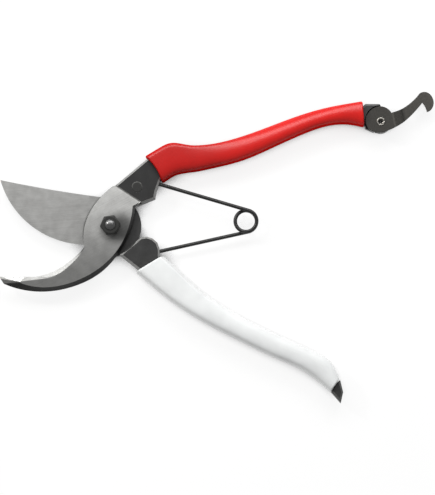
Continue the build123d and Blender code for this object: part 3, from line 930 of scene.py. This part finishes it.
def steel_material(name, colour, metallic, rough, mottle_mm, depth_mm, edge_mm=0.2, tone_and_painted_light=None):
    """Small steel pieces: an even finish with a mottle of this size and depth, and softened edges.

    The mottle changes the gloss a little both ways from rough. A brightness function, if there is one,
    gives the brightness over the piece, and can hold painted light and shade.
    """
    material, tree = new_material(name)
    place, _ = place_and_normal(tree)
    mottle = add_node(
        tree, "TexNoise", {"Vector": place, "Scale": 1 / mottle_mm, "Detail": 4.0, "Roughness": 0.65}
    ).outputs[0]
    shade = add_node(
        tree, "MapRange", {"Value": mottle, 1: NOISE_LOW, 2: NOISE_HIGH, 3: 0.7, 4: 1.3}
    ).outputs[0]
    if tone_and_painted_light:
        shade = add_node(tree, "Math", {0: shade, 1: tone_and_painted_light(tree, place)}, operation="MULTIPLY").outputs[0]
    tint = add_node(tree, "VectorMath", {0: tuple(colour), "Scale": shade}, operation="SCALE").outputs[0]
    gloss = add_node(
        tree,
        "MapRange",
        {"Value": mottle, 1: NOISE_LOW, 2: NOISE_HIGH, 3: rough + 0.08, 4: rough - 0.08},
    ).outputs[0]
    rounded = add_node(tree, "Bevel", {"Radius": edge_mm * MM}, samples=6).outputs[0]
    bump = add_node(
        tree, "Bump", {"Height": mottle, "Normal": rounded, "Strength": 0.3, "Distance": depth_mm * MM}
    ).outputs[0]
    shader = add_node(
        tree,
        "BsdfPrincipled",
        {"Base Color": tint, "Metallic": metallic, "Roughness": gloss, "Normal": bump},
    )
    add_node(tree, "OutputMaterial", {"Surface": shader.outputs[0]})
    return material


def catch_tone_and_painted_light(tree, place):
    """Brightness along the catch: darker at the head and lighter along the arm, with a painted highlight on
    the first bend and painted shade in the crease of the second.
    """
    way = (math.cos(CATCH_TURN), math.sin(CATCH_TURN))
    along = distance_along(tree, place, RIVET_CENTRE, way)
    tone_and_painted_light = add_node(tree, "MapRange", {"Value": along, 1: 2.0, 2: 30.0, 3: 0.8, 4: 1.25}).outputs[0]
    # Painted highlight on the first bend and painted shade in the second
    for bend_mm, width_mm, change in CATCH_PAINTED_BENDS:
        away = add_node(tree, "Math", {0: along, 1: bend_mm}, operation="SUBTRACT").outputs[0]
        near = add_node(tree, "Math", {0: away}, operation="ABSOLUTE").outputs[0]
        bend = add_node(
            tree, "MapRange", {"Value": near, 1: 0.0, 2: width_mm, 3: 1 + change, 4: 1.0}
        ).outputs[0]
        tone_and_painted_light = add_node(tree, "Math", {0: tone_and_painted_light, 1: bend}, operation="MULTIPLY").outputs[0]
    return tone_and_painted_light


def pin_rim_and_painted_highlight(tree, place):
    """Brightness over the tang pin's end: black in the middle, and a worn rim that a painted highlight
    makes brighter towards its upper side.
    """
    away = distance_from(tree, place, PIN_CENTRE)
    rim = add_node(tree, "MapRange", {"Value": away, 1: PIN_RIM_MM[0], 2: PIN_RIM_MM[1]}).outputs[0]
    # Painted highlight: the rim grows brighter towards its upper side
    height = distance_along(tree, place, PIN_CENTRE, (0.0, 1.0))
    rubbed_and_painted_highlight = add_node(tree, "MapRange", {"Value": height, 1: -1.5, 2: 1.8, 3: 0.3, 4: 2.2}).outputs[0]
    return add_node(tree, "Math", {0: rim, 1: rubbed_and_painted_highlight, 2: 0.8}, operation="MULTIPLY_ADD").outputs[0]


def floor_material():
    """White paper: it shows white to the eye and in polished metal, and keeps a soft shadow.

    To the lamps it is plain white paper. To the eye it is grey with a glow that makes it white, and the
    glow dies away where the floor is deeply hidden. From below it is clear.
    """
    material, tree = new_material("white_paper")
    seen = add_node(tree, "LightPath")
    direct = add_node(
        tree,
        "Math",
        {0: seen.outputs["Is Camera Ray"], 1: seen.outputs["Is Glossy Ray"]},
        operation="MAXIMUM",
    ).outputs[0]
    shown = add_node(
        tree, "Math", {0: direct, 1: seen.outputs["Is Transmission Ray"]}, operation="MAXIMUM"
    ).outputs[0]
    paper = add_node(tree, "BsdfDiffuse", {"Color": rgba(linear("#F6F6F6"))}).outputs[0]
    shadowed = add_node(tree, "BsdfDiffuse", {"Color": rgba(linear("#707070"))}).outputs[0]
    open_sky = add_node(tree, "AmbientOcclusion", {"Distance": 10 * MM}, samples=8).outputs["AO"]
    strength = add_node(tree, "MapRange", {"Value": open_sky, 1: 0.3, 2: 0.55, 3: 0.0, 4: 0.87}).outputs[0]
    glow = add_node(tree, "Emission", {"Color": (1, 1, 1, 1), "Strength": strength}).outputs[0]
    white = add_node(tree, "AddShader", {0: shadowed, 1: glow}).outputs[0]
    both = add_node(tree, "MixShader", {0: shown, 1: paper, 2: white}).outputs[0]
    under = add_node(tree, "NewGeometry").outputs["Backfacing"]
    clear = add_node(tree, "BsdfTransparent").outputs[0]
    shell = add_node(tree, "MixShader", {0: under, 1: both, 2: clear}).outputs[0]
    add_node(tree, "OutputMaterial", {"Surface": shell})
    return material


def dress(node, material):
    """Gives a CAD node its material."""
    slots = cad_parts[node].data.materials
    slots.clear()
    slots.append(material)


def lamp(name, place, aim, size, power, colour):
    """A rectangular soft lamp that looks at a point."""
    light = bpy.data.lights.new(name, "AREA")
    light.shape = "RECTANGLE"
    light.size, light.size_y = size
    light.energy = power
    light.color = linear(colour)
    holder = bpy.data.objects.new(name, light)
    holder.location = place
    holder.rotation_euler = (Vector(aim) - Vector(place)).to_track_quat("-Z", "Y").to_euler()
    bpy.context.scene.collection.objects.link(holder)


class SHEARS_OT_stage(bpy.types.Operator):
    """Set up the camera, the lamps, the surroundings and the floor"""

    bl_idname = "shears.stage"
    bl_label = "Stage"

    def execute(self, context):
        stage = context.scene.shears_stage
        scene = context.scene
        scene.view_settings.view_transform = "Standard"
        aim = Vector(stage.aim)

        # The picture is taller than wide, so the sensor's width spans its height
        camera = bpy.data.cameras.new("camera")
        camera.lens = camera.sensor_width * stage.distance / stage.height
        holder = bpy.data.objects.new("camera", camera)
        holder.location = aim + stage.distance * Vector((0, -math.sin(stage.tilt), math.cos(stage.tilt)))
        holder.rotation_euler = (stage.tilt, 0, 0)
        scene.collection.objects.link(holder)
        scene.camera = holder

        corners = [(x * FLOOR_REACH, y * FLOOR_REACH, 0) for x, y in ((-1, -1), (1, -1), (1, 1), (-1, 1))]
        mesh = bpy.data.meshes.new("floor")
        mesh.from_pydata(corners, [], [(0, 1, 2, 3)])
        mesh.materials.append(floor_material())
        floor = bpy.data.objects.new("floor", mesh)
        scene.collection.objects.link(floor)

        world = bpy.data.worlds.new("surroundings")
        world.use_nodes = True
        world.node_tree.nodes.clear()
        even = add_node(
            world.node_tree, "Background", {"Color": (1, 1, 1, 1), "Strength": stage.ambient}
        ).outputs[0]
        add_node(world.node_tree, "OutputWorld", {"Surface": even})
        scene.world = world

        for name, (offset, size, power, colour) in LAMPS.items():
            lamp(name, aim + Vector(offset), aim, size, power, colour)
        return {"FINISHED"}


class SHEARS_OT_forgings(bpy.types.Operator):
    """Dress the hook forging and the blade forging"""

    bl_idname = "shears.forgings"
    bl_label = "Forgings"

    def execute(self, context):
        colours = context.scene.shears_steel
        # The hook's ground brightness rises upwards as painted light; the blade's is even
        hook = forging_material(
            "hook_carbon_steel",
            colours,
            grind_turn=math.radians(28.0),
            tone_and_painted_light=(0.55, 1.35),
            sooty=(0.65, 1.6),
            find_marks=hook_marks,
        )
        blade = forging_material(
            "blade_carbon_steel",
            colours,
            grind_turn=math.radians(5.0),
            tone_and_painted_light=(0.93, 0.93),
            sooty=(1.3, 1.3),
            find_marks=blade_marks,
        )
        dress("hook_blade", hook)
        dress("cutting_blade", blade)
        return {"FINISHED"}


class SHEARS_OT_grips(bpy.types.Operator):
    """Build the red and the white dipped grip"""

    bl_idname = "shears.grips"
    bl_label = "Grips"

    def execute(self, context):
        sizes = context.scene.shears_grips
        red = surface(
            "red_sleeve",
            grip_grid(RED_STATIONS, sizes, sizes.bow, sizes.red_crest, sizes.red_chamfer),
            vinyl_material("red_dipped_vinyl", sizes.red, gloss=0.45, side_gloss=0.0, painted_mouth_shade=0.85),
            ring=True,
        )
        white = surface(
            "white_sleeve",
            grip_grid(WHITE_STATIONS, sizes, 0.0, sizes.white_crest, sizes.white_chamfer),
            vinyl_material("white_dipped_vinyl", sizes.white, gloss=0.2, side_gloss=1.0, painted_mouth_shade=1.0),
            ring=True,
        )
        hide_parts("red_grip")
        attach(red, "hook_half")
        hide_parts("white_grip")
        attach(white, "blade_half")
        return {"FINISHED"}


class SHEARS_OT_spring(bpy.types.Operator):
    """Build the return spring"""

    bl_idname = "shears.spring"
    bl_label = "Return spring"

    def execute(self, context):
        sizes = context.scene.shears_spring
        middle = context.scene.shears_grips.thickness / 2
        path, follow = spring_rows(sizes, middle)
        material = steel_material(
            "oil_black_spring_wire", sizes.black, metallic=0.6, rough=0.36, mottle_mm=0.8, depth_mm=0.02
        )
        wire = surface("spring_wire", tube_grid(path, sizes.wire / 2, WIRE_COLUMNS), material)
        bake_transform(wire)
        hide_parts("return_spring")
        return {"FINISHED"}


class SHEARS_OT_pivot(bpy.types.Operator):
    """Dress the pivot bolt, its nut and washer, and the tang's pin"""

    bl_idname = "shears.pivot"
    bl_label = "Pivot"

    def execute(self, context):
        colours = context.scene.shears_steel
        blackened = steel_material(
            "black_oxide_steel",
            colours.oxide,
            metallic=0.5,
            rough=0.38,
            mottle_mm=0.6,
            depth_mm=0.03,
            edge_mm=0.4,
        )
        rubbed_and_painted_highlight = steel_material(
            "rubbed_pin_steel_painted_highlight",
            colours.oxide,
            metallic=0.4,
            rough=0.45,
            mottle_mm=0.6,
            depth_mm=0.03,
            tone_and_painted_light=pin_rim_and_painted_highlight,
        )
        turned = steel_material(
            "turned_bolt_steel", colours.bolt, metallic=0.8, rough=0.3, mottle_mm=0.7, depth_mm=0.05
        )
        dress("pivot_nut", blackened)
        dress("tang_pin", rubbed_and_painted_highlight)
        dress("pivot_bolt", turned)
        dress("pivot_washer", turned)
        return {"FINISHED"}


class SHEARS_OT_catch(bpy.types.Operator):
    """Dress the end catch with its rivet and washer"""

    bl_idname = "shears.catch"
    bl_label = "Catch"

    def execute(self, context):
        colours = context.scene.shears_steel
        pressed = steel_material(
            "blackened_pressed_steel",
            colours.pressed,
            metallic=0.4,
            rough=0.45,
            mottle_mm=0.9,
            depth_mm=0.03,
            edge_mm=0.5,
            tone_and_painted_light=catch_tone_and_painted_light,
        )
        dress("catch", pressed)
        plated = steel_material(
            "nickel_plated_steel", colours.plated, metallic=1.0, rough=0.25, mottle_mm=1.0, depth_mm=0.01
        )
        dress("catch_washer", plated)
        rivet = surface(
            "star_rivet",
            rivet_grid(context.scene.shears_rivet),
            plated,
            ring=True,
            sharp=math.radians(40.0),
        )
        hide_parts("catch_rivet")
        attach(rivet, "hook_half")
        return {"FINISHED"}


class SHEARS_PT_panel(bpy.types.Panel):
    """The shears' settings and builders"""

    bl_idname = "SHEARS_PT_panel"
    bl_label = "Pruning shears"
    bl_space_type = "VIEW_3D"
    bl_region_type = "UI"
    bl_category = "Shears"

    def draw(self, context):
        for name in SETTINGS:
            box = self.layout.box()
            settings = getattr(context.scene, name)
            for field in settings.__annotations__:
                box.prop(settings, field)
        for operator in OPERATORS:
            self.layout.operator(operator.bl_idname)


SETTINGS = {
    "shears_grips": GripSettings,
    "shears_spring": SpringSettings,
    "shears_steel": SteelSettings,
    "shears_rivet": RivetSettings,
    "shears_stage": StageSettings,
}
OPERATORS = (
    SHEARS_OT_stage,
    SHEARS_OT_forgings,
    SHEARS_OT_grips,
    SHEARS_OT_spring,
    SHEARS_OT_pivot,
    SHEARS_OT_catch,
)
CLASSES = (*SETTINGS.values(), *OPERATORS, SHEARS_PT_panel)


def register():
    """Adds the classes and hangs the settings on the scene."""
    for entry in CLASSES:
        bpy.utils.register_class(entry)
    for name, group in SETTINGS.items():
        setattr(bpy.types.Scene, name, PointerProperty(type=group))


def unregister():
    """Takes away what register added."""
    for name in SETTINGS:
        delattr(bpy.types.Scene, name)
    for entry in reversed(CLASSES):
        bpy.utils.unregister_class(entry)


def main():
    register()
    bpy.ops.shears.stage()
    bpy.ops.shears.forgings()
    bpy.ops.shears.grips()
    bpy.ops.shears.spring()
    bpy.ops.shears.pivot()
    bpy.ops.shears.catch()


if __name__ == "__main__":
    main()
